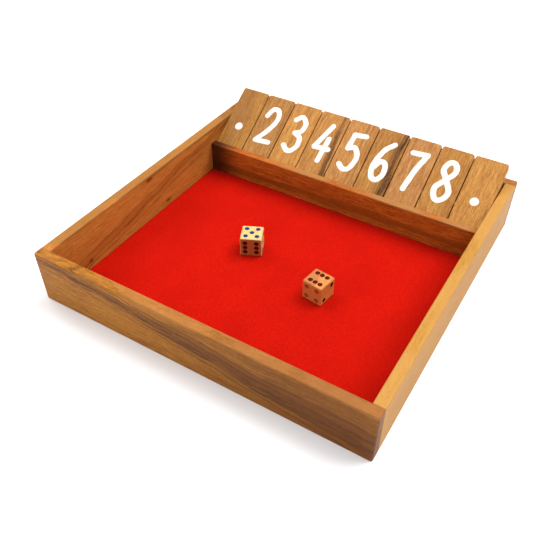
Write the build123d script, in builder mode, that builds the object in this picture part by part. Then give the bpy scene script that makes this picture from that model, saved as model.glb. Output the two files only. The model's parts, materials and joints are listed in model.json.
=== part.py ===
from build123d import *
import math
import os

# Flip-tile dice game: an open wooden tray lined with felt, nine hinged tiles that
# lean back on a rail, and two loose dice. Millimetres, +Z up, the front towards -Y,
# origin on the resting plane under the middle of the tray.

# --- driving dimensions ---------------------------------------------------------

side = 250.0              # outer width and depth of the tray
wall_height = 41.0
wall = 7.8                # thickness of the four walls
corner_round = 1.5        # outer upright corners
top_round = 1.0           # both edges of the walls' top
foot_round = 0.6          # outer edge of the walls' underside

base_thickness = 2.5      # plywood let into a rabbet, flush with the walls' underside
rabbet = 4.5              # how far the base reaches under each wall
felt_thickness = 0.8
felt_gap = 0.2            # between the felt's cut edge and the wood round it

rail_front = 65.2         # front face of the tile rail
rail_thickness = 6.2
rail_height = 27.6        # top of the rail above the resting plane
rail_round = 0.8
rail_housing = 2.5        # how far the rail's ends are let into the side walls

tile_count = 9
tile_pitch = 26.0
tile_width = 25.2
tile_length = 56.0
tile_thickness = 7.0
tile_lean = 33.3          # degrees above the horizontal, leaning back at rest
tile_catch = 1.84         # how far a tile's lower front corner is below the rail's top
tile_gap = 0.2            # room between a tile and the rail at either end of its swing
tile_head_round = 2.0     # the two corners at a tile's upper end
tile_tail_round = 1.0     # the two corners at its lower end
tile_edge_round = 0.6     # long edges of its two faces

rod_radius = 1.5
rod_socket = 4.0          # depth of the blind hole for the rod in each side wall
bore_radius = 1.56        # running fit on the rod

dowel_radius = 1.5
dowel_length = 16.0
dowel_in_end_wall = 5.0   # the rest of the dowel is in the side wall's end grain
dowel_heights = (12.0, 29.0)

brad_radius = 0.6
brad_head_radius = 1.1
brad_head_thickness = 0.5
brad_length = 12.0
brad_recess = 0.2         # heads are set below the base's underside
brad_row = (-90.0, -30.0, 30.0, 90.0)
rail_brad_row = (-60.0, 0.0, 60.0)

die_side = 16.0
die_round = 1.0
pip_radius = 1.5
pip_depth = 0.5
pip_corner = 4.2          # a corner pip from the middle of its face, each way
six_step = 4.0            # between the pips in each row of a six

# each die: middle of its foot, turn about +Z in degrees, pips on each face,
# and whether the rows of its six run across the face instead of up it
dice = {
    "die_left": {
        "middle": (-28.2, -9.4),
        "turn": 25.0,
        "faces": {"top": 5, "bottom": 2, "front": 6, "back": 1, "right": 3, "left": 4},
        "six_across": False,
    },
    "die_right": {
        "middle": (37.6, -27.4),
        "turn": -7.7,
        "faces": {"top": 6, "bottom": 1, "front": 4, "back": 3, "right": 2, "left": 5},
        "six_across": True,
    },
}

# --- worked-out places ----------------------------------------------------------

half = side / 2
inner = half - wall                       # inner face of each wall from the middle
rail_back = rail_front + rail_thickness
rail_middle = rail_front + rail_thickness / 2
rail_length = 2 * (inner + rail_housing)
base_side = 2 * (inner + rabbet)
felt_top = base_thickness + felt_thickness

lean_cos = math.cos(math.radians(tile_lean))
lean_sin = math.sin(math.radians(tile_lean))

# A leaning tile's lower front corner presses on the rail's back face. Flipped over,
# the tile lies level on the rail's top, and that sets the height of the rod.
tile_foot_y = rail_back + tile_gap
tile_foot_z = rail_height - tile_catch
hinge_z = rail_height + tile_gap + tile_thickness / 2
hinge_up_tile = (hinge_z - tile_foot_z + tile_thickness / 2 * lean_cos) / lean_sin
hinge_y = tile_foot_y + hinge_up_tile * lean_cos + tile_thickness / 2 * lean_sin
rod_length = 2 * (inner + rod_socket)

dowel_x = half - wall / 2
dowel_y = inner + dowel_in_end_wall - dowel_length / 2
dowel_places = [
    Location((dowel_x * right, dowel_y * back, height), (90, 0, 0))
    for right in (-1, 1)
    for back in (-1, 1)
    for height in dowel_heights
]

brad_line = inner + rabbet / 2            # middle of the ledge that the base sits on
brad_spots = [(place, brad_line * back) for place in brad_row for back in (-1, 1)]
brad_spots += [(brad_line * right, place) for place in brad_row for right in (-1, 1)]
brad_spots += [(place, rail_middle) for place in rail_brad_row]
brad_places = [(x, y, brad_recess + brad_length / 2) for x, y in brad_spots]

os.makedirs("parts", exist_ok=True)


def finish(piece, name):
    """Label a finished piece and write it as its own STEP file."""
    piece.part.label = name
    export_step(piece.part, f"parts/{name}.step")


# --- tray -----------------------------------------------------------------------

# The walls are sanded as one frame after gluing, so their rounded edges run through
# the joints. Each wall is cut out of this frame.
with BuildPart() as sanded_frame:
    with BuildSketch():
        Rectangle(side, side)
        Rectangle(2 * inner, 2 * inner, mode=Mode.SUBTRACT)
    extrude(amount=wall_height)
    uprights = sanded_frame.edges().filter_by(Axis.Z)
    fillet(uprights.filter_by(lambda edge: abs(edge.center().X) > inner + 1), corner_round)
    fillet(sanded_frame.faces().sort_by(Axis.Z)[-1].edges(), top_round)
    fillet(sanded_frame.faces().sort_by(Axis.Z)[0].outer_wire().edges(), foot_round)


def cut_joinery():
    """Cut the rabbet for the base and the holes for dowels and brads from a piece."""
    with Locations((0, 0, base_thickness / 2)):
        Box(base_side, base_side, base_thickness, mode=Mode.SUBTRACT)
    with Locations(*dowel_places):
        Cylinder(dowel_radius, dowel_length, mode=Mode.SUBTRACT)
    with Locations(*brad_places):
        Cylinder(brad_radius, brad_length, mode=Mode.SUBTRACT)


for name, back in (("front_wall", -1), ("back_wall", 1)):
    with BuildPart() as end_wall:
        add(sanded_frame.part)
        with Locations((0, back * (half - wall / 2), wall_height / 2)):
            Box(side, wall, wall_height, mode=Mode.INTERSECT)
        cut_joinery()
    finish(end_wall, name)

for name, right in (("left_wall", -1), ("right_wall", 1)):
    with BuildPart() as side_wall:
        add(sanded_frame.part)
        with Locations((right * (half - wall / 2), 0, wall_height / 2)):
            Box(wall, 2 * inner, wall_height, mode=Mode.INTERSECT)
        cut_joinery()
        with Locations((0, rail_middle, rail_height / 2)):
            Box(rail_length, rail_thickness, rail_height, mode=Mode.SUBTRACT)
        with Locations(Location((0, hinge_y, hinge_z), (0, 90, 0))):
            Cylinder(rod_radius, rod_length, mode=Mode.SUBTRACT)
    finish(side_wall, name)

with BuildPart() as tile_rail:
    with BuildSketch(Plane.YZ.offset(-rail_length / 2)):
        with Locations((rail_middle, (base_thickness + rail_height) / 2)):
            Rectangle(rail_thickness, rail_height - base_thickness)
    extrude(amount=rail_length)
    fillet(tile_rail.edges().filter_by(Axis.X).group_by(Axis.Z)[-1], rail_round)
    with Locations(*brad_places):
        Cylinder(brad_radius, brad_length, mode=Mode.SUBTRACT)
finish(tile_rail, "tile_rail")

with BuildPart() as base_panel:
    with BuildSketch():
        Rectangle(base_side, base_side)
        with Locations(*brad_spots):
            Circle(brad_radius, mode=Mode.SUBTRACT)
    extrude(amount=base_thickness)
    with BuildSketch():
        with Locations(*brad_spots):
            Circle(brad_head_radius)
    extrude(amount=brad_recess + brad_head_thickness, mode=Mode.SUBTRACT)
finish(base_panel, "base_panel")

with BuildPart() as felt_mat:
    with BuildSketch(Plane.XY.offset(base_thickness)):
        with Locations((0, (rail_front - inner) / 2)):
            Rectangle(2 * (inner - felt_gap), inner + rail_front - 2 * felt_gap)
    extrude(amount=felt_thickness)
finish(felt_mat, "felt_mat")

# --- hidden fasteners -----------------------------------------------------------

with BuildPart() as corner_dowels:
    with Locations(*dowel_places):
        Cylinder(dowel_radius, dowel_length)
finish(corner_dowels, "corner_dowels")

with BuildPart() as base_brads:
    with Locations(*brad_places):
        Cylinder(brad_radius, brad_length)
    with BuildSketch(Plane.XY.offset(brad_recess)):
        with Locations(*brad_spots):
            Circle(brad_head_radius)
    extrude(amount=brad_head_thickness)
finish(base_brads, "base_brads")

# --- tiles and their rod --------------------------------------------------------

with BuildPart() as hinge_rod:
    with BuildSketch(Plane.YZ.offset(-rod_length / 2)):
        with Locations((hinge_y, hinge_z)):
            Circle(rod_radius)
    extrude(amount=rod_length)
finish(hinge_rod, "hinge_rod")

for number in range(1, tile_count + 1):
    tile_x = (number - (tile_count + 1) / 2) * tile_pitch
    face_plane = Plane(
        origin=(tile_x, tile_foot_y, tile_foot_z),
        x_dir=(1, 0, 0),
        z_dir=(0, -lean_sin, lean_cos),
    )
    with BuildPart() as tile:
        with BuildSketch(face_plane):
            with Locations((0, tile_length / 2)):
                Rectangle(tile_width, tile_length)
        extrude(amount=-tile_thickness)
        through = Axis(face_plane.origin, face_plane.z_dir)
        fillet(tile.edges().filter_by(through).sort_by(Axis.Y)[-2:], tile_head_round)
        fillet(tile.edges().filter_by(through).sort_by(Axis.Y)[:2], tile_tail_round)
        fillet(tile.faces().sort_by(through)[-1].edges(), tile_edge_round)
        fillet(tile.faces().sort_by(through)[0].edges(), tile_edge_round)
        with BuildSketch(Plane.YZ.offset(tile_x - tile_width)):
            with Locations((hinge_y, hinge_z)):
                Circle(bore_radius)
        extrude(amount=2 * tile_width, mode=Mode.SUBTRACT)
    finish(tile, f"tile_{number}")

# --- dice -----------------------------------------------------------------------

# across and outward directions of each face of a die, in the die's own frame
face_directions = {
    "top": ((1, 0, 0), (0, 0, 1)),
    "bottom": ((1, 0, 0), (0, 0, -1)),
    "front": ((1, 0, 0), (0, -1, 0)),
    "back": ((-1, 0, 0), (0, 1, 0)),
    "right": ((0, 1, 0), (1, 0, 0)),
    "left": ((0, -1, 0), (-1, 0, 0)),
}

# a ball of this radius, this far above a face, leaves a dimple of the pip's size
pip_ball = (pip_radius ** 2 + pip_depth ** 2) / (2 * pip_depth)
pip_lift = pip_ball - pip_depth


def pip_spots(count, six_across):
    """Middles of the pips on a face, for a number from one to six."""
    if count == 6:
        spots = [(pip_corner * way, six_step * step) for way in (-1, 1) for step in (-1, 0, 1)]
        return [(up, across) for across, up in spots] if six_across else spots
    spots = []
    if count % 2:
        spots += [(0, 0)]
    if count > 1:
        spots += [(pip_corner, pip_corner), (-pip_corner, -pip_corner)]
    if count > 3:
        spots += [(pip_corner, -pip_corner), (-pip_corner, pip_corner)]
    return spots


for name, die_data in dice.items():
    die_plane = Plane(origin=(*die_data["middle"], felt_top + die_side / 2))
    die_plane = die_plane.rotated((0, 0, die_data["turn"]))
    with BuildPart(die_plane) as die:
        Box(die_side, die_side, die_side)
        fillet(die.edges(), die_round)
        for face_name, count in die_data["faces"].items():
            across, outward = face_directions[face_name]
            face_middle = Vector(*outward) * (die_side / 2 + pip_lift)
            face_place = Plane(origin=face_middle, x_dir=across, z_dir=outward)
            with Locations(face_place):
                with Locations(*pip_spots(count, die_data["six_across"])):
                    Sphere(pip_ball, mode=Mode.SUBTRACT)
    finish(die, name)
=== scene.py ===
import json
import math

import bmesh
import bpy
import numpy as np
from mathutils import Matrix, Vector, noise


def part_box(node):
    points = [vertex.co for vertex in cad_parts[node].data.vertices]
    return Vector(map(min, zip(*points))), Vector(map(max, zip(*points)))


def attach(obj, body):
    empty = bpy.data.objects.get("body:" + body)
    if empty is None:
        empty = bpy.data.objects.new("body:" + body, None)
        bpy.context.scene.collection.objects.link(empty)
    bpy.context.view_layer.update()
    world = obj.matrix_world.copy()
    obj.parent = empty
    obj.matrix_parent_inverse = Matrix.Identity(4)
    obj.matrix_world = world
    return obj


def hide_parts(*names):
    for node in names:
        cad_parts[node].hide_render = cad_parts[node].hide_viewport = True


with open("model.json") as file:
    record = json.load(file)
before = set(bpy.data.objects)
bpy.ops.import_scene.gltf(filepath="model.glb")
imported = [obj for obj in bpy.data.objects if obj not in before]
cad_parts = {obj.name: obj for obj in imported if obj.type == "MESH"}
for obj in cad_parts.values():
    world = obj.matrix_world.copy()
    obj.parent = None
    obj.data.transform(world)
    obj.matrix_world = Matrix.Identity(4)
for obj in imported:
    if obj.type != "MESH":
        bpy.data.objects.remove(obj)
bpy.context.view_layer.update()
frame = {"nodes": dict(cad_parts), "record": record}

# Looks of a flip-tile dice game: an oiled hardwood tray with red felt, nine hinged
# tiles with painted numerals, and two wooden dice. Metres, in the CAD model's frame.

MM = 0.001
TILES = [f"tile_{number}" for number in range(1, 10)]
X_AXIS = Vector((1, 0, 0))
Y_AXIS = Vector((0, 1, 0))
Z_AXIS = Vector((0, 0, 1))


# --- places read from the CAD model -----------------------------------------------

def corners_of(node):
    return [Vector(corner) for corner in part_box(node)]


def centre_of(node):
    low, high = corners_of(node)
    return (low + high) / 2


def corners_in(node, axes):
    """Lowest and highest corner of a node measured along three given directions."""
    shown = frame["nodes"][node]
    points = [shown.matrix_world @ vertex.co for vertex in shown.data.vertices]
    spans = [[point.dot(axis) for point in points] for axis in axes]
    return [min(span) for span in spans], [max(span) for span in spans]


JOINTS = frame["record"]["behaviour"]["joints"]
FLIP_JOINT = next(joint for joint in JOINTS if joint["type"] == "hinge")
# A tile turns from its lean until it lies flat, so the lean is what is left of a half turn.
LEAN = math.radians(180 - FLIP_JOINT["range_deg"][1])
UP_TILE = Vector((0, math.cos(LEAN), math.sin(LEAN)))
OUT_OF_TILE = Vector((0, -math.sin(LEAN), math.cos(LEAN)))


# --- node materials ---------------------------------------------------------------

# Most of a noise's values lie between these.
NOISE_SPAN = (0.3, 0.7)


class Shader:
    """A node material, built one node at a time around its Principled shader."""

    def __init__(self, name):
        self.material = bpy.data.materials.new(name)
        self.material.use_nodes = True
        self.tree = self.material.node_tree
        self.surface = self.tree.nodes["Principled BSDF"]
        self.coordinates = self.tree.nodes.new("ShaderNodeTexCoord")
        self.position = self.coordinates.outputs["Object"]

    def put(self, target, value):
        if isinstance(value, bpy.types.NodeSocket):
            self.tree.links.new(value, target)
        else:
            target.default_value = value

    def node(self, kind, inputs, output=0, **settings):
        made = self.tree.nodes.new(kind)
        for key, value in settings.items():
            setattr(made, key, value)
        for key, value in inputs.items():
            self.put(made.inputs[key], value)
        return made.outputs[output]

    def maths(self, operation, first, second=0.0, third=0.0):
        values = {0: first, 1: second, 2: third}
        return self.node("ShaderNodeMath", values, operation=operation)

    def stretch(self, vector, scale, shift=(0, 0, 0)):
        values = {0: vector, 1: scale, 2: shift}
        return self.node("ShaderNodeVectorMath", values, operation="MULTIPLY_ADD")

    def noise(self, vector, detail=4.0, roughness=0.55, output="Fac"):
        values = {"Vector": vector, "Scale": 1.0, "Detail": detail, "Roughness": roughness}
        return self.node("ShaderNodeTexNoise", values, output)

    def rescale(self, value, low, high, to_low=0.0, to_high=1.0, smooth=False):
        values = {"Value": value, "From Min": low, "From Max": high}
        values.update({"To Min": to_low, "To Max": to_high})
        kind = "SMOOTHSTEP" if smooth else "LINEAR"
        return self.node("ShaderNodeMapRange", values, interpolation_type=kind)

    def mix(self, share, first, second):
        made = self.tree.nodes.new("ShaderNodeMix")
        made.data_type = "RGBA"
        share_socket, first_socket, second_socket = (made.inputs[index] for index in (0, 6, 7))
        self.put(share_socket, share)
        self.put(first_socket, first)
        self.put(second_socket, second)
        return made.outputs[2]

    def ramp(self, value, stops):
        made = self.tree.nodes.new("ShaderNodeValToRGB")
        points = made.color_ramp.elements
        while len(points) < len(stops):
            points.new(0.5)
        for point, (place, colour) in zip(points, stops):
            point.position = place
            point.color = colour
        self.put(made.inputs[0], value)
        return made.outputs[0]

    def bump(self, height, distance, strength):
        values = {"Height": height, "Distance": distance, "Strength": strength}
        self.put(self.surface.inputs["Normal"], self.node("ShaderNodeBump", values))

    def set(self, **values):
        for key, value in values.items():
            self.put(self.surface.inputs[key.replace("_", " ")], value)


def rgb(red, green, blue):
    """A linear colour from the 0 to 255 display values it should look like."""
    def linear(value):
        value /= 255
        return value / 12.92 if value <= 0.04045 else ((value + 0.055) / 1.055) ** 2.4
    return (linear(red), linear(green), linear(blue), 1.0)


def linear_tones(colours, lightness=1.0, blueness=1.0):
    """Linear colours for a board, as light and as blue as that board is beside its kind."""
    return [(red * lightness, green * lightness, blue * lightness * blueness, 1.0)
            for red, green, blue, _ in (rgb(*colour) for colour in colours)]


# --- wood -------------------------------------------------------------------------

# Directions in a board, as numbered by its coordinates.
ALONG = 0
ACROSS = 1

# The noise that makes the grain. Pitches are per metre along, across and through a board.
SWAY_PITCH = (14, 40, 30)
SWAY_REACH = 9 * MM
SEED_STEPS = (3.7, 5.3, 1.9)
GRAIN = {
    # pitch, detail, roughness, and weight in the tone
    "broad": ((7, 80, 50), 4.0, 0.55, 0.30),
    "streaks": ((24, 480, 300), 6.0, 0.68, 0.42),
    "fibres": ((80, 760, 700), 4.0, 0.75, 0.75),
    "fine": ((160, 2100, 1300), 4.0, 0.70, 0.40),
    "flecks": ((420, 1100, 1100), 3.0, 0.70, 0.40),
}
PORE_PITCH = (210, 4200, 3000)
PORE_EDGES = (0.60, 0.70)
PORE_SHARE = 0.4

# The tones at which a board shows its dark, middle and light colours.
TONE_STOPS = (0.28, 0.5, 0.72)

# A heartwood band fades over these shares of its half width, and in patches of the grain.
BAND_EDGES = (1.0, 0.35)
THINNEST_BAND = 0.5 * MM
STRAND_SHARE = 3.0
PATCH_EDGES = (0.42, 0.54)
PATCH_LEAST = 0.2

# A knot's core and the dark cloud round it: distances from its middle, in its own half
# lengths, where each starts and is full, then its strengths there.
KNOT_BROWN = rgb(58, 24, 12)
KNOT_DEPTH = 3 * MM
KNOT_FRAY = 0.6
KNOT_CORE = (1.1, 0.7, 0.0, 0.9)
KNOT_CLOUD = (3.2, 1.0, 0.0, 0.35)

# A face takes the end grain's colour as it turns to look along the grain, between these
# cosines and up to one of these shares.
END_FACING = (0.6, 1.0)
END_SHARE = 0.45
TINTED_END_SHARE = 0.85

PORE_RELIEF = -0.8
FINE_RELIEF = 0.6
WOOD_RELIEF = 0.12 * MM
OILED_SPECULAR = 0.12


class Wood(Shader):
    """Oiled hardwood, built up from its grain. self.colour is the colour so far."""

    def __init__(self, name, board, tones, seed, contrast, wander):
        super().__init__(name)
        middle, self.along, across = board
        self.dark = tones[0]
        turn = Matrix((self.along, across, self.along.cross(across))).transposed().to_euler()
        place = {"Vector": self.position, "Location": middle, "Rotation": turn}
        self.local = self.node("ShaderNodeMapping", place, vector_type="TEXTURE")
        self.shift = [seed * step for step in SEED_STEPS]
        sway = self.noise(self.stretch(self.local, SWAY_PITCH, self.shift), 3.0, 0.55, "Color")
        reach = SWAY_REACH * wander
        sideways = self.stretch(sway, (0.0, reach, reach), (0.0, -reach / 2, -reach / 2))
        self.wavy = self.node("ShaderNodeVectorMath", {0: self.local, 1: sideways}, operation="ADD")
        split = self.tree.nodes.new("ShaderNodeSeparateXYZ")
        self.put(split.inputs[0], self.wavy)
        self.ways = split.outputs
        self.grain = {}
        tone = 0.5
        for layer, (pitch, detail, roughness, weight) in GRAIN.items():
            self.grain[layer] = self.grain_noise(pitch, detail, roughness)
            tone = self.maths("SUBTRACT", tone, weight / 2 * contrast)
            tone = self.maths("MULTIPLY_ADD", self.grain[layer], weight * contrast, tone)
        self.colour = self.ramp(tone, list(zip(TONE_STOPS, tones)))

    def grain_noise(self, pitch, detail, roughness):
        return self.noise(self.stretch(self.wavy, pitch, self.shift), detail, roughness)

    def add_band(self, offset, half_width, slope, widening, strength, colour):
        """A streak of heartwood, frayed into strands and patches by the grain."""
        strands = STRAND_SHARE * half_width
        line = self.maths("MULTIPLY_ADD", self.ways[ALONG], -slope, self.ways[ACROSS])
        line = self.maths("MULTIPLY_ADD", self.grain["streaks"], strands, line)
        away = self.maths("ABSOLUTE", self.maths("SUBTRACT", line, offset + strands / 2))
        width = self.maths("MULTIPLY_ADD", self.ways[ALONG], widening, half_width)
        width = self.maths("MAXIMUM", width, THINNEST_BAND)
        share = self.maths("DIVIDE", away, width)
        share = self.rescale(share, *BAND_EDGES, 0.0, strength, smooth=True)
        patches = self.maths("MULTIPLY", self.grain["streaks"], 0.5)
        patches = self.maths("MULTIPLY_ADD", self.grain["fibres"], 0.5, patches)
        patches = self.rescale(patches, *PATCH_EDGES, PATCH_LEAST, 1.0)
        self.colour = self.mix(self.maths("MULTIPLY", share, patches), self.colour, colour)

    def add_shade(self, way, start, end, strength, colour):
        """A tint that comes in from start to end, along the board or across it."""
        share = self.rescale(self.ways[way], start, end, 0.0, strength, smooth=True)
        self.colour = self.mix(share, self.colour, colour)

    def add_knot(self, along, across, through, half_length, half_width):
        """A pin knot with a dark cloud round it."""
        scale = (1 / half_length, 1 / half_width, 1 / KNOT_DEPTH)
        back = [-at * factor for at, factor in zip((along, across, through), scale)]
        centred = self.stretch(self.local, scale, back)
        away = self.node("ShaderNodeVectorMath", {0: centred}, "Value", operation="LENGTH")
        away = self.maths("SUBTRACT", away, KNOT_FRAY / 2)
        away = self.maths("MULTIPLY_ADD", self.grain["streaks"], KNOT_FRAY, away)
        core = self.rescale(away, *KNOT_CORE, smooth=True)
        self.colour = self.mix(core, self.colour, KNOT_BROWN)
        cloud = self.rescale(away, *KNOT_CLOUD, smooth=True)
        self.colour = self.mix(cloud, self.colour, self.dark)

    def finish(self, end_tone, roughness):
        """Pores, end grain and an oiled surface, over all that the board shows so far. The end tone
        can carry painted shade.
        """
        pores = self.rescale(self.grain_noise(PORE_PITCH, 1.0, 0.4), *PORE_EDGES, smooth=True)
        colour = self.mix(self.maths("MULTIPLY", pores, PORE_SHARE), self.colour, self.dark)
        facing = {0: self.coordinates.outputs["Normal"], 1: self.along}
        ends = self.node("ShaderNodeVectorMath", facing, "Value", operation="DOT_PRODUCT")
        strength = TINTED_END_SHARE if end_tone else END_SHARE
        ends = self.rescale(self.maths("ABSOLUTE", ends), *END_FACING, 0.0, strength)
        colour = self.mix(ends, colour, end_tone or self.dark)
        relief = self.maths("MULTIPLY", self.grain["fine"], FINE_RELIEF)
        self.bump(self.maths("MULTIPLY_ADD", pores, PORE_RELIEF, relief), WOOD_RELIEF, 0.6)
        polish = self.rescale(self.grain["fine"], *NOISE_SPAN, roughness - 0.06, roughness + 0.1)
        self.set(Base_Color=colour, Roughness=polish, Specular_IOR_Level=OILED_SPECULAR)


def wood(name, board, tones, seed, bands=(), knots=(), shades=(), end_tone=None,
         roughness=0.45, contrast=1.0, wander=1.0):
    """Oiled hardwood. board is (middle, along, across), the grain running along the second.
    tones are the dark, middle and light colours. contrast is how far the grain spreads
    between them, and wander how far it sways.
    bands are heartwood streaks: (offset across, half width, slope, widening, strength, colour).
    shades tint one side of the board: (ALONG or ACROSS, from, to, strength, colour).
    knots are pin knots: (along, across, through, half length, half width).
    The end tone is the colour of the faces that look along the grain, where it isn't a share of the
    dark tone: end grain, and on die_left also painted shade."""
    shader = Wood(name, board, tones, seed, contrast, wander)
    for band in bands:
        shader.add_band(*band)
    for shade in shades:
        shader.add_shade(*shade)
    for knot in knots:
        shader.add_knot(*knot)
    shader.finish(end_tone, roughness)
    return shader.material


def dress(node, material):
    """Give a CAD node its material in place of the plain one."""
    shown = frame["nodes"][node]
    shown.data.materials.clear()
    shown.data.materials.append(material)


def dress_board(node, along, across, colours, seed, material=None, **look):
    """Give a CAD node a board of its own, in display colours."""
    board = (centre_of(node), along, across)
    dress(node, wood(material or f"{node}_wood", board, linear_tones(colours), seed, **look))


# --- tray woods -------------------------------------------------------------------

# Dark, middle and light display colours.
FRONT_WALL = ((112, 64, 12), (154, 96, 24), (184, 122, 38))
LEFT_WALL = ((150, 85, 30), (185, 116, 50), (206, 143, 68))
RIGHT_WALL = ((150, 98, 35), (173, 122, 50), (186, 138, 60))
BACK_WALL = ((122, 72, 30), (160, 104, 46), (185, 130, 68))
TILE_RAIL = ((110, 50, 10), (164, 82, 24), (194, 110, 40))
BASE_PLYWOOD = ((158, 120, 76), (190, 160, 114), (206, 180, 140))
DOWEL_BEECH = ((166, 130, 85), (196, 164, 118), (210, 185, 146))

HEART = rgb(86, 43, 8)
SHADOW = rgb(60, 27, 4)
UMBER = rgb(104, 48, 14)

# Bands as wood() takes them. The thin lines differ only in their offset and slope.
FRONT_BANDS = [
    (0.0055, 0.0085, -0.085, 0.05, 0.75, HEART),
    (0.003, 0.0045, -0.10, 0.025, 0.5, SHADOW),
]
FRONT_LINES = ((0.0115, -0.075), (0.0078, -0.09), (0.0036, -0.10), (-0.0002, -0.11), (-0.0045, -0.12))
FRONT_BANDS += [(offset, 0.0009, slope, 0.005, 0.7, SHADOW) for offset, slope in FRONT_LINES]
LEFT_BANDS = [
    (0.004, 0.005, 0.16, 0.0, 0.45, rgb(130, 62, 20)),
    (0.0, 0.003, 0.05, 0.0, 0.22, rgb(130, 66, 22)),
]
LEFT_LINES = ((0.0075, 0.15), (0.0030, 0.17), (-0.0030, 0.14))
LEFT_BANDS += [(offset, 0.001, slope, 0.0, 0.6, UMBER) for offset, slope in LEFT_LINES]
BACK_BANDS = [(-0.004, 0.006, 0.03, 0.0, 0.5, HEART)]
RAIL_BANDS = [(-0.004, 0.005, 0.02, 0.0, 0.6, HEART)]

# Knots on the left wall, with 1 for its inner face and -1 for its outer one as third value.
LEFT_KNOTS = (
    (-0.0154, 0.0171, 1, 0.0040, 0.0014),
    (-0.0866, -0.0118, 1, 0.0022, 0.0016),
    (0.003, -0.0130, 1, 0.0034, 0.0012),
    (0.05, 0.004, -1, 0.003, 0.0014),
)

# Shades as wood() takes them: the front wall and the rail darken towards one end, the rail's as
# painted shade.
# Each board's upper edge is tinted from the first height over its middle to the second, as painted
# light and shade.
FRONT_DARK_END_AND_PAINTED_TOP_LIGHTING = [
    (ALONG, -0.06, 0.10, 0.6, HEART),
    (ACROSS, 0.0185, 0.0203, 0.45, rgb(173, 114, 64)),
]
LEFT_PAINTED_TOP_LIGHTING = [(ACROSS, 0.0190, 0.0203, 0.6, rgb(129, 90, 40))]
RIGHT_PAINTED_TOP_LIGHTING = [(ACROSS, 0.0190, 0.0203, 0.6, rgb(184, 136, 70))]
RAIL_PAINTED_LIGHTING = [
    # Painted light: a paler, less red top edge than the front face below it.
    (ACROSS, 0.0118, 0.0135, 0.8, rgb(155, 113, 64)),
    # Painted shade: the left end goes near black, standing in for the shade of its corner by the left
    # wall.
    (ALONG, -0.085, -0.112, 0.9, rgb(40, 15, 8)),
]


def dress_tray():
    """Walls, rail, base and corner dowels."""
    low, high = corners_of("left_wall")
    face = (high.x - low.x) / 2
    left_knots = [(along, across, side * face, half_length, half_width)
                  for along, across, side, half_length, half_width in LEFT_KNOTS]
    dress_board("front_wall", X_AXIS, Z_AXIS, FRONT_WALL, 1.0,
                wander=1.3, bands=FRONT_BANDS, shades=FRONT_DARK_END_AND_PAINTED_TOP_LIGHTING)
    dress_board("left_wall", Y_AXIS, Z_AXIS, LEFT_WALL, 2.0,
                wander=1.8, contrast=0.75, bands=LEFT_BANDS, shades=LEFT_PAINTED_TOP_LIGHTING, knots=left_knots)
    dress_board("right_wall", Y_AXIS, Z_AXIS, RIGHT_WALL, 3.0, contrast=0.7, shades=RIGHT_PAINTED_TOP_LIGHTING)
    dress_board("back_wall", X_AXIS, Z_AXIS, BACK_WALL, 4.0, bands=BACK_BANDS)
    dress_board("tile_rail", X_AXIS, Z_AXIS, TILE_RAIL, 5.0, bands=RAIL_BANDS, shades=RAIL_PAINTED_LIGHTING)
    dress_board("base_panel", X_AXIS, Y_AXIS, BASE_PLYWOOD, 6.0,
                material="base_plywood", roughness=0.62, contrast=0.7)
    dress_board("corner_dowels", Y_AXIS, Z_AXIS, DOWEL_BEECH, 7.0,
                material="dowel_beech", roughness=0.6, contrast=0.6)


# --- steel ------------------------------------------------------------------------

ROD_GREY = rgb(150, 148, 146)
BRAD_GREY = rgb(128, 126, 124)
STEEL_LINE = rgb(196, 194, 190)
# Pitches of the drawn lines: the rod lies along X and the brads stand along Z.
ROD_LINES = (40, 3000, 3000)
BRAD_LINES = (3000, 3000, 60)


def steel(name, tint, pitch):
    """Drawn bright steel with faint lines along its length."""
    shader = Shader(name)
    lines = shader.noise(shader.stretch(shader.position, pitch), 3.0)
    shader.set(Base_Color=shader.mix(lines, tint, STEEL_LINE), Metallic=1.0)
    shader.set(Roughness=shader.rescale(lines, *NOISE_SPAN, 0.22, 0.4))
    shader.bump(lines, 0.03 * MM, 0.4)
    return shader.material


def dress_steel():
    dress("hinge_rod", steel("rod_steel", ROD_GREY, ROD_LINES))
    dress("base_brads", steel("brad_steel", BRAD_GREY, BRAD_LINES))


# --- tiles ------------------------------------------------------------------------

TILE_WOOD = ((130, 82, 36), (170, 117, 57), (194, 145, 80))
# How light and how blue each tile's board is beside that wood.
TILE_BOARDS = {
    "tile_1": (0.90, 0.75),
    "tile_2": (0.90, 1.05),
    "tile_3": (1.10, 0.95),
    "tile_4": (1.05, 1.05),
    "tile_5": (1.05, 1.15),
    "tile_6": (0.95, 0.95),
    "tile_7": (1.00, 1.25),
    "tile_8": (1.00, 0.95),
    "tile_9": (1.05, 0.95),
}
HEARTWOOD = rgb(78, 44, 24)
DEEP_HEARTWOOD = rgb(52, 28, 16)
# Bands as wood() takes them; offsets are to the left of a tile's middle, seen from the front.
TILE_BANDS = {
    "tile_1": [(0.004, 0.012, 0.1, 0.2, 0.45, rgb(122, 78, 52))],
    "tile_4": [(-0.0095, 0.0026, -0.01, 0.0, 0.9, HEARTWOOD)],
    "tile_5": [
        (-0.004, 0.0012, -0.02, 0.0, 0.5, HEARTWOOD),
        (-0.008, 0.0012, -0.02, 0.0, 0.4, HEARTWOOD),
    ],
    "tile_6": [
        (-0.0088, 0.0048, -0.02, -0.03, 1.0, HEARTWOOD),
        (-0.0095, 0.002, -0.02, 0.0, 0.8, DEEP_HEARTWOOD),
    ],
}
TILE_SEED = 10.0


def dress_tiles():
    for number, name in enumerate(TILES, 1):
        board = (centre_of(name), UP_TILE, -X_AXIS)
        tones = linear_tones(TILE_WOOD, *TILE_BOARDS[name])
        bands = TILE_BANDS.get(name, ())
        dress(name, wood(f"{name}_wood", board, tones, TILE_SEED + number, bands=bands))


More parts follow.
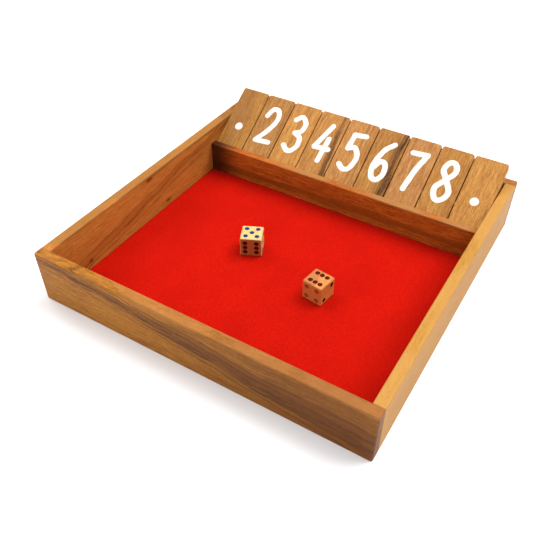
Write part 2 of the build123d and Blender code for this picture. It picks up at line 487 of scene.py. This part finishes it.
# Strokes of each numeral: a kind and its points, across from -0.5 to 0.5 of the
# numeral's width and up from 0 to 1 of its height.
NUMERALS = {
    "1": [("straight", [(-0.25, 0.78), (0.06, 1.0), (0.02, 0.0)])],
    "2": [("smooth", [(-0.42, 0.76), (-0.22, 0.97), (0.16, 0.97), (0.36, 0.74), (0.12, 0.4),
                      (-0.44, 0.02)]),
          ("straight", [(-0.44, 0.02), (0.46, 0.05)])],
    "3": [("smooth", [(-0.4, 0.88), (-0.06, 1.0), (0.32, 0.84), (0.26, 0.62), (-0.1, 0.53)]),
          ("smooth", [(-0.1, 0.53), (0.34, 0.43), (0.4, 0.18), (0.02, 0.0), (-0.44, 0.12)])],
    "4": [("straight", [(0.12, 1.0), (-0.46, 0.34), (0.46, 0.36)]),
          ("straight", [(0.22, 0.64), (0.14, 0.0)])],
    "5": [("straight", [(0.42, 0.99), (-0.28, 0.96), (-0.36, 0.56)]),
          ("smooth", [(-0.36, 0.56), (0.06, 0.62), (0.4, 0.4), (0.26, 0.08), (-0.1, 0.0),
                      (-0.44, 0.1)])],
    "6": [("smooth", [(0.3, 1.0), (-0.14, 0.78), (-0.4, 0.36), (-0.24, 0.05), (0.14, 0.0),
                      (0.38, 0.2), (0.26, 0.44), (-0.06, 0.48), (-0.34, 0.28)])],
    "7": [("straight", [(-0.44, 0.95), (0.42, 0.98)]),
          ("smooth", [(0.42, 0.98), (0.1, 0.55), (-0.12, 0.0)])],
    "8": [("smooth", [(0.02, 0.54), (-0.34, 0.76), (-0.16, 0.97), (0.18, 0.97), (0.34, 0.78),
                      (0.02, 0.54), (-0.4, 0.28), (-0.22, 0.03), (0.14, 0.01), (0.42, 0.24),
                      (0.02, 0.54)])],
    "9": [("smooth", [(0.34, 0.7), (0.06, 0.5), (-0.28, 0.56), (-0.38, 0.8), (-0.12, 1.0),
                      (0.26, 0.94), (0.36, 0.7), (0.3, 0.34), (0.12, 0.0)])],
    "dot": [("straight", [(0.0, 0.5), (0.0, 0.501)])],
}
SPAN_STEPS = 10

# Each kind of mark: width, height, half the brush's width, and its centre's distance up the tile.
MARKS = {
    "dot": (1 * MM, 1 * MM, 3.4 * MM, 20 * MM),
    "numeral": (13.5 * MM, 32 * MM, 2.2 * MM, 28.5 * MM),
    "reverse_numeral": (10 * MM, 20 * MM, 1.5 * MM, 35 * MM),
}
REVERSE_SEED = 20

PAINT_CELL = 0.35 * MM
PAINT_THICKNESS = 0.12 * MM
PAINT_SUNK = 0.05 * MM
# The paint thins out over this distance to its edge, which wobbles.
PAINT_EDGE = 0.9 * MM
WOBBLE = 0.22 * MM
WOBBLE_PITCH = 260
# The grid reaches this many half brush widths past a mark's strokes.
GRID_MARGIN = 1.3

PAINT_SHADE = rgb(216, 213, 203)
PAINT_WHITE = rgb(232, 230, 222)
BRUSH_PITCH = (900, 260, 260)


def stroke_line(kind, points):
    """Points close together along a stroke, smoothed through its given points."""
    points = [np.array(point, float) for point in points]
    if kind == "straight":
        return points
    ends = [2 * points[0] - points[1], *points, 2 * points[-1] - points[-2]]
    line = []
    for before, start, end, after in zip(ends, ends[1:], ends[2:], ends[3:]):
        for step in range(SPAN_STEPS):
            t = step / SPAN_STEPS
            line.append(0.5 * (2 * start + (end - before) * t
                               + (2 * before - 5 * start + 4 * end - after) * t ** 2
                               + (3 * start - before - 3 * end + after) * t ** 3))
    return line + [points[-1]]


def distance_to(line, spots):
    """Distance from each spot to a chain of straight pieces."""
    nearest = np.full(len(spots), np.inf)
    for start, end in zip(line, line[1:]):
        run = end - start
        share = np.clip((spots - start) @ run / max(run @ run, 1e-12), 0, 1)
        gaps = np.linalg.norm(spots - start - share[:, None] * run, axis=1)
        nearest = np.minimum(nearest, gaps)
    return nearest


def brushed_grid(glyph, width, height, brush, seed):
    """Spots in rows over a glyph, how far each is inside its strokes, and the spots in a row."""
    size = np.array([width, height])
    lines = [(np.array(stroke_line(kind, points)) - [0.0, 0.5]) * size
             for kind, points in NUMERALS[glyph]]
    reach = size / 2 + brush * GRID_MARGIN
    counts = np.ceil(2 * reach / PAINT_CELL).astype(int) + 1
    xs, ys = (np.arange(count) * PAINT_CELL - (count - 1) * PAINT_CELL / 2 for count in counts)
    spots = np.array([(x, y) for y in ys for x in xs])
    gaps = np.min([distance_to(line, spots) for line in lines], axis=0)
    rough = [noise.noise(Vector((x * WOBBLE_PITCH, y * WOBBLE_PITCH, seed))) for x, y in spots]
    return spots, brush + WOBBLE * np.array(rough) - gaps, len(xs)


def paint_sheet(spots, inside, columns):
    """The paint's upper surface: the grid's cells, cut where the strokes end."""
    mesh = bmesh.new()
    corners, crossings = {}, {}

    def corner(index):
        if index not in corners:
            lift = PAINT_THICKNESS * min(1.0, inside[index] / PAINT_EDGE) ** 0.5
            corners[index] = mesh.verts.new((*spots[index], lift))
        return corners[index]

    def crossing(first, second):
        key = (min(first, second), max(first, second))
        if key not in crossings:
            share = inside[key[0]] / (inside[key[0]] - inside[key[1]])
            spot = spots[key[0]] * (1 - share) + spots[key[1]] * share
            crossings[key] = mesh.verts.new((*spot, 0.0))
        return crossings[key]

    for row in range(len(spots) // columns - 1):
        for column in range(columns - 1):
            start = row * columns + column
            ring = [start, start + 1, start + columns + 1, start + columns]
            outline = []
            for here, after in zip(ring, ring[1:] + ring[:1]):
                if inside[here] > 0:
                    outline.append(corner(here))
                if (inside[here] > 0) != (inside[after] > 0):
                    outline.append(crossing(here, after))
            if len(outline) > 2:
                mesh.faces.new(outline)
    return mesh


def painted(name, glyph, mark, middle, up, seed):
    """A numeral or dot as a thin raised layer of brushed paint, closed, lying on a face.
    middle is the mark's centre on the face, and up is its upward direction there."""
    width, height, brush, _ = MARKS[mark]
    mesh = paint_sheet(*brushed_grid(glyph, width, height, brush, seed))
    raised = bmesh.ops.extrude_face_region(mesh, geom=mesh.faces[:])["geom"]
    tops = {vertex for vertex in raised if isinstance(vertex, bmesh.types.BMVert)}
    for vertex in mesh.verts:
        if vertex not in tops:
            vertex.co.z = -PAINT_SUNK
    bmesh.ops.recalc_face_normals(mesh, faces=mesh.faces[:])
    place = Matrix((X_AXIS, up, X_AXIS.cross(up))).transposed().to_4x4()
    mesh.transform(Matrix.Translation(middle) @ place)
    return as_object(name, mesh)


def as_object(name, mesh, smooth=True):
    data = bpy.data.meshes.new(name)
    mesh.to_mesh(data)
    mesh.free()
    for face in data.polygons:
        face.use_smooth = smooth
    made = bpy.data.objects.new(name, data)
    bpy.context.scene.collection.objects.link(made)
    return made


def white_paint():
    shader = Shader("white_tile_paint")
    strokes = shader.noise(shader.stretch(shader.position, BRUSH_PITCH), 3.0)
    shader.set(Base_Color=shader.mix(strokes, PAINT_SHADE, PAINT_WHITE))
    shader.set(Roughness=shader.rescale(strokes, *NOISE_SPAN, 0.38, 0.55))
    shader.bump(strokes, 0.06 * MM, 0.5)
    return shader.material


def paint_tiles():
    """Numerals on both faces of the tiles; the end tiles show a plain dot in front."""
    paint = white_paint()
    for number, name in enumerate(TILES, 1):
        low, high = corners_in(name, (X_AXIS, UP_TILE, OUT_OF_TILE))
        middle_x = (low[0] + high[0]) / 2
        shown = "dot" if number in (1, len(TILES)) else "numeral"
        for mark, out, up, seed in ((shown, high[2], UP_TILE, number),
                                    ("reverse_numeral", low[2], -UP_TILE, number + REVERSE_SEED)):
            glyph = "dot" if mark == "dot" else str(number)
            rise = MARKS[mark][-1]
            middle = X_AXIS * middle_x + UP_TILE * (low[1] + rise) + OUT_OF_TILE * out
            piece = painted(f"{name}_{mark}", glyph, mark, middle, up, seed)
            piece.data.materials.append(paint)
            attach(piece, f"{name}_body")


# --- felt -------------------------------------------------------------------------

FELT_COLUMNS = 150
FELT_ROWS = 118
FELT_RIPPLE = 0.10 * MM
FELT_RIPPLE_PITCH = 90
FELT_SEED = 3.0
FELT_EDGE_DROP = 0.35 * MM

FELT_DEEP = rgb(148, 10, 3)
FELT_RED = rgb(178, 16, 5)
FELT_BRIGHT = rgb(196, 26, 10)
FELT_SHEEN = rgb(255, 70, 50)
FIBRE_PITCH = (2600, 2600, 2600)
TUFT_PITCH = (700, 900, 700)
NAP_PITCH = (28, 22, 28)


def felt_mesh(low, high):
    """A closed mat, with a faintly uneven top whose edge drops a little."""
    size = high - low
    mesh = bmesh.new()

    def felt_vertex(column, row, top):
        x = low.x + size.x * column / FELT_COLUMNS
        y = low.y + size.y * row / FELT_ROWS
        if not top:
            return mesh.verts.new((x, y, low.z))
        to_edge = min(x - low.x, high.x - x, y - low.y, high.y - y)
        drop = FELT_EDGE_DROP if to_edge <= 0 else 0.0
        spot = Vector((x * FELT_RIPPLE_PITCH, y * FELT_RIPPLE_PITCH, FELT_SEED))
        uneven = 0.5 - 0.5 * noise.noise(spot)
        return mesh.verts.new((x, y, high.z - FELT_RIPPLE * max(0.0, min(1.0, uneven)) - drop))

    under, over = [[[felt_vertex(column, row, top) for column in range(FELT_COLUMNS + 1)]
                    for row in range(FELT_ROWS + 1)] for top in (False, True)]
    for layer in (under, over):
        for row in range(FELT_ROWS):
            for column in range(FELT_COLUMNS):
                mesh.faces.new((layer[row][column], layer[row][column + 1],
                                layer[row + 1][column + 1], layer[row + 1][column]))
    rim = [(0, column) for column in range(FELT_COLUMNS)]
    rim += [(row, FELT_COLUMNS) for row in range(FELT_ROWS)]
    rim += [(FELT_ROWS, column) for column in range(FELT_COLUMNS, 0, -1)]
    rim += [(row, 0) for row in range(FELT_ROWS, 0, -1)]
    for (row, column), (next_row, next_column) in zip(rim, rim[1:] + rim[:1]):
        mesh.faces.new((under[row][column], under[next_row][next_column],
                        over[next_row][next_column], over[row][column]))
    bmesh.ops.recalc_face_normals(mesh, faces=mesh.faces[:])
    return mesh


def red_felt():
    shader = Shader("red_felt")
    fibres = shader.noise(shader.stretch(shader.position, FIBRE_PITCH), 3.0, 0.7)
    tufts = shader.noise(shader.stretch(shader.position, TUFT_PITCH), 4.0, 0.6)
    nap = shader.noise(shader.stretch(shader.position, NAP_PITCH), 3.0)
    shade = shader.maths("MULTIPLY_ADD", tufts, 0.5, shader.maths("MULTIPLY", fibres, 0.5))
    colour = shader.ramp(shade, [(0.3, FELT_DEEP), (0.5, FELT_RED), (0.7, FELT_BRIGHT)])
    colour = shader.mix(shader.rescale(nap, 0.35, 0.65, 0.0, 0.3), colour, FELT_DEEP)
    shader.set(Base_Color=colour, Roughness=0.95, Specular_IOR_Level=0.03)
    shader.set(Sheen_Weight=0.08, Sheen_Roughness=0.5, Sheen_Tint=FELT_SHEEN)
    shader.bump(shade, 0.3 * MM, 0.6)
    return shader.material


def lay_felt():
    low, high = corners_of("felt_mat")
    felt = as_object("felt_lining", felt_mesh(low, high))
    felt.data.materials.append(red_felt())
    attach(felt, "tray")
    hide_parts("felt_mat")


# --- dice -------------------------------------------------------------------------

DIE_FACES = {
    # across and outward directions of each face, in the die's own frame
    "top": ((1, 0, 0), (0, 0, 1)),
    "bottom": ((1, 0, 0), (0, 0, -1)),
    "front": ((1, 0, 0), (0, -1, 0)),
    "back": ((-1, 0, 0), (0, 1, 0)),
    "right": ((0, 1, 0), (1, 0, 0)),
    "left": ((0, -1, 0), (-1, 0, 0)),
}

# Dimples are cut by a ball. Paint reaches a little past their rims, except underneath,
# where the felt has rubbed it off.
PIP_RADIUS = 1.5 * MM
PIP_DEPTH = 0.5 * MM
PIP_BALL = (PIP_RADIUS ** 2 + PIP_DEPTH ** 2) / (2 * PIP_DEPTH)
PAINT_REACH = 1.75 * MM
WORN_REACH = 1.45 * MM
PIP_CORNER = 4.2 * MM
SIX_STEP = 4.0 * MM
PIP_COAT = 0.05 * MM
DISH_RINGS = 7
DISH_SEGMENTS = 28

# Display colours of the pips. BARE is a dimple whose paint has worn away.
BLUE = (30, 50, 96)
RED = (74, 2, 4)
BROWN = (72, 14, 2)
BLACK = (24, 12, 6)
BARE = (140, 66, 26)
PALER = 1.4
PATCH_PITCH = (1500, 1500, 1500)

DICE = {
    # "end" is the end grain's colour, on die_left mostly painted shade with painted red light from
    # the felt; "top" is the painted light and shade of the upper face
    "die_left": {
        "wood": ((179, 137, 76), (209, 179, 117), (222, 200, 146)),
        # Painted shade with painted red light from the felt, on the end-grain front and back faces.
        "end": (152, 54, 11),
        "top": (176, 160, 122),
        "faces": {"top": (5, BLUE), "bottom": (2, BLUE), "front": (6, RED),
                  "back": (1, RED), "right": (3, BLUE), "left": (4, RED)},
        "six_across": False,
    },
    "die_right": {
        "wood": ((164, 91, 41), (204, 130, 68), (226, 157, 92)),
        "end": (197, 119, 63),
        "top": (153, 93, 54),
        "faces": {"top": (6, BROWN), "bottom": (1, BROWN), "front": (4, BARE),
                  "back": (3, BROWN), "right": (2, BLACK), "left": (5, BROWN)},
        "six_across": True,
    },
}
DIE_SEED = 30.0
# Heights over its middle between which a die's top tint comes in: painted light and shade, setting
# the top apart from the sides.
DIE_PAINTED_TOP_LIGHTING = (7.4 * MM, 7.9 * MM)
# A face is upright if its normal rises or falls by less than this.
LEVEL = 0.01


def die_turn(name):
    """How far a die is turned about +Z, from the direction of its largest upright face."""
    areas = {}
    for face in frame["nodes"][name].data.polygons:
        normal = (frame["nodes"][name].matrix_world.to_3x3() @ face.normal).normalized()
        if abs(normal.z) < LEVEL:
            turn = round(math.degrees(math.atan2(normal.y, normal.x)) % 90, 1)
            areas[turn] = areas.get(turn, 0.0) + face.area
    turn = max(areas, key=areas.get)
    return math.radians(turn - 90 if turn > 45 else turn)


def pip_spots(count, six_across):
    """Middles of a face's pips, across and up from its own middle."""
    if count == 6:
        spots = [(PIP_CORNER * way, SIX_STEP * step) for way in (-1, 1) for step in (-1, 0, 1)]
        return [(up, across) for across, up in spots] if six_across else spots
    spots = [(0.0, 0.0)] if count % 2 else []
    if count > 1:
        spots += [(PIP_CORNER, PIP_CORNER), (-PIP_CORNER, -PIP_CORNER)]
    if count > 3:
        spots += [(PIP_CORNER, -PIP_CORNER), (-PIP_CORNER, PIP_CORNER)]
    return spots


def add_dish(mesh, axes, spot, half, reach):
    """One closed dish of paint in a dimple. axes are the face's across, up and outward
    directions, spot is the dimple's middle on it, and half is half of the die's size."""
    across, up, outward = axes
    right, rise = spot

    def dish_vertex(radius, turn, height):
        angle = 2 * math.pi * turn / DISH_SEGMENTS
        return mesh.verts.new(across * (right + radius * math.cos(angle))
                              + up * (rise + radius * math.sin(angle)) + outward * height)

    rims = []
    for lift in (PIP_COAT, -PIP_COAT):
        layer = []
        for ring in range(DISH_RINGS + 1):
            radius = reach * ring / DISH_RINGS
            dish = min(0.0, PIP_BALL - PIP_DEPTH - math.sqrt(PIP_BALL ** 2 - radius ** 2))
            turns = DISH_SEGMENTS if ring else 1
            layer.append([dish_vertex(radius, turn, half + dish + lift) for turn in range(turns)])
        for turn in range(DISH_SEGMENTS):
            after = (turn + 1) % DISH_SEGMENTS
            mesh.faces.new((layer[0][0], layer[1][turn], layer[1][after]))
            for inner, outer in zip(layer[1:], layer[2:]):
                mesh.faces.new((inner[turn], outer[turn], outer[after], inner[after]))
        rims.append(layer[-1])
    top, bottom = rims
    for turn in range(DISH_SEGMENTS):
        after = (turn + 1) % DISH_SEGMENTS
        mesh.faces.new((top[turn], bottom[turn], bottom[after], top[after]))


def pip_paint(name, face_name, count, colour, six_across):
    """Paint in the dimples of one face of a die."""
    low, high = corners_of(name)
    half = (high.z - low.z) / 2
    across, outward = (Vector(direction) for direction in DIE_FACES[face_name])
    axes = (across, outward.cross(across), outward)
    reach = WORN_REACH if face_name == "bottom" else PAINT_REACH
    mesh = bmesh.new()
    for spot in pip_spots(count, six_across):
        add_dish(mesh, axes, spot, half, reach)
    bmesh.ops.recalc_face_normals(mesh, faces=mesh.faces[:])
    mesh.transform(Matrix.Translation((low + high) / 2) @ Matrix.Rotation(die_turn(name), 4, "Z"))
    piece = as_object(f"{name}_{face_name}_pips", mesh)
    piece.data.materials.append(pip_material(piece.name, colour))
    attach(piece, f"{name}_body")


def pip_material(name, colour):
    shader = Shader(f"{name}_paint")
    patches = shader.noise(shader.stretch(shader.position, PATCH_PITCH), 2.0)
    full = rgb(*colour)
    pale = (*(channel * PALER for channel in full[:3]), 1.0)
    shader.set(Base_Color=shader.mix(shader.rescale(patches, 0.4, 0.8), full, pale))
    shader.set(Roughness=shader.rescale(patches, *NOISE_SPAN, 0.5, 0.7), Specular_IOR_Level=0.06)
    shader.bump(patches, 0.05 * MM, 0.4)
    return shader.material


def dress_dice():
    for number, (name, look) in enumerate(DICE.items()):
        turn = die_turn(name)
        along = Vector((math.sin(turn), -math.cos(turn), 0))
        # The top tint is painted light and shade; die_left's end tone is painted shade.
        dress_board(name, along, Z_AXIS, look["wood"], DIE_SEED + number, roughness=0.38,
                    contrast=0.7, end_tone=rgb(*look["end"]),
                    shades=[(ACROSS, *DIE_PAINTED_TOP_LIGHTING, 0.6, rgb(*look["top"]))])
        for face_name, (count, colour) in look["faces"].items():
            pip_paint(name, face_name, count, colour, look["six_across"])


# --- stage, light and camera --------------------------------------------------------

FLOOR_REACH = 6.0
FLOOR_CELLS = 8
FLOOR_PITCH = (60, 60, 60)
FLOOR_DARK = rgb(238, 238, 239)
FLOOR_LIGHT = rgb(241, 241, 242)

# Where each soft light comes from, its power, its width in degrees and its tint.
SOFTBOXES = {
    "right_softbox": ((0.35, 0.55, 1.0), 3.1, 40, (1.0, 0.98, 0.95)),
    "left_softbox": ((-0.75, 0.1, 1.0), 1.5, 40, (1, 1, 1)),
    "front_softbox": ((0.25, -0.8, 0.9), 1.0, 50, (1, 1, 1)),
}

# The white wall all round is full up to the first height and gives way to the ceiling by the
# second. Heights are a direction's upward part, from 0 at the horizon to 1 overhead.
WALL_HEIGHTS = (0.12, 0.4)
CEILING_STRENGTH = 0.45
WHITE = (1, 1, 1, 1)

CAMERA_AZIMUTH = math.radians(31.16)
CAMERA_ELEVATION = math.radians(42.89)
CAMERA_ROLL = math.radians(0.18)
CAMERA_DISTANCE = 0.4729
CAMERA_TARGET = Vector((-0.0006, -0.022, 0.0))
# The lens and the sensor it is for, in millimetres.
CAMERA_LENS = 42.44
CAMERA_SENSOR = 36.0
CAMERA_NEAREST = 0.01
CAMERA_FARTHEST = 50.0


def make_stage():
    mesh = bmesh.new()
    bmesh.ops.create_grid(mesh, x_segments=FLOOR_CELLS, y_segments=FLOOR_CELLS, size=FLOOR_REACH)
    floor = as_object("floor", mesh, smooth=False)
    shader = Shader("pale_floor")
    speckle = shader.noise(shader.stretch(shader.position, FLOOR_PITCH), 2.0)
    shader.set(Base_Color=shader.mix(speckle, FLOOR_DARK, FLOOR_LIGHT), Roughness=0.85)
    floor.data.materials.append(shader.material)


def soft_sun(name, direction, power, width, tint):
    """A far light from the given direction; the wider it is, the softer its shadows."""
    lamp = bpy.data.lights.new(name, "SUN")
    lamp.energy = power
    lamp.angle = math.radians(width)
    lamp.color = tint
    made = bpy.data.objects.new(name, lamp)
    made.rotation_euler = Vector(direction).to_track_quat("Z", "Y").to_euler()
    bpy.context.scene.collection.objects.link(made)


def make_room():
    """A white wall all round near the horizon, under a darker ceiling."""
    world = bpy.data.worlds.new("studio")
    world.use_nodes = True
    tree = world.node_tree
    coordinates = tree.nodes.new("ShaderNodeTexCoord")
    split = tree.nodes.new("ShaderNodeSeparateXYZ")
    height = tree.nodes.new("ShaderNodeMapRange")
    height.interpolation_type = "SMOOTHSTEP"
    height.inputs["From Min"].default_value, height.inputs["From Max"].default_value = WALL_HEIGHTS
    height.inputs["To Min"].default_value = 1.0
    height.inputs["To Max"].default_value = CEILING_STRENGTH
    background = tree.nodes["Background"]
    background.inputs["Color"].default_value = WHITE
    tree.links.new(coordinates.outputs["Generated"], split.inputs[0])
    tree.links.new(split.outputs[2], height.inputs["Value"])
    tree.links.new(height.outputs[0], background.inputs["Strength"])
    bpy.context.scene.world = world


def light_scene():
    """Two broad lights from behind, one from the front, and the room round them."""
    for name, light in SOFTBOXES.items():
        soft_sun(name, *light)
    make_room()
    bpy.context.scene.view_settings.view_transform = "Standard"


def aim_camera():
    back = Vector((math.sin(CAMERA_AZIMUTH) * math.cos(CAMERA_ELEVATION),
                   -math.cos(CAMERA_AZIMUTH) * math.cos(CAMERA_ELEVATION),
                   math.sin(CAMERA_ELEVATION)))
    level = Z_AXIS.cross(back).normalized()
    upright = back.cross(level)
    right = level * math.cos(CAMERA_ROLL) + upright * math.sin(CAMERA_ROLL)
    up = upright * math.cos(CAMERA_ROLL) - level * math.sin(CAMERA_ROLL)
    data = bpy.data.cameras.new("camera")
    data.sensor_width = CAMERA_SENSOR
    data.lens = CAMERA_LENS
    data.clip_start = CAMERA_NEAREST
    data.clip_end = CAMERA_FARTHEST
    camera = bpy.data.objects.new("camera", data)
    camera.matrix_world = Matrix.Translation(CAMERA_TARGET + back * CAMERA_DISTANCE) @ (
        Matrix((right, up, back)).transposed().to_4x4())
    bpy.context.scene.collection.objects.link(camera)
    bpy.context.scene.camera = camera


aim_camera()
make_stage()
light_scene()
dress_tray()
dress_steel()
dress_tiles()
paint_tiles()
lay_felt()
dress_dice()
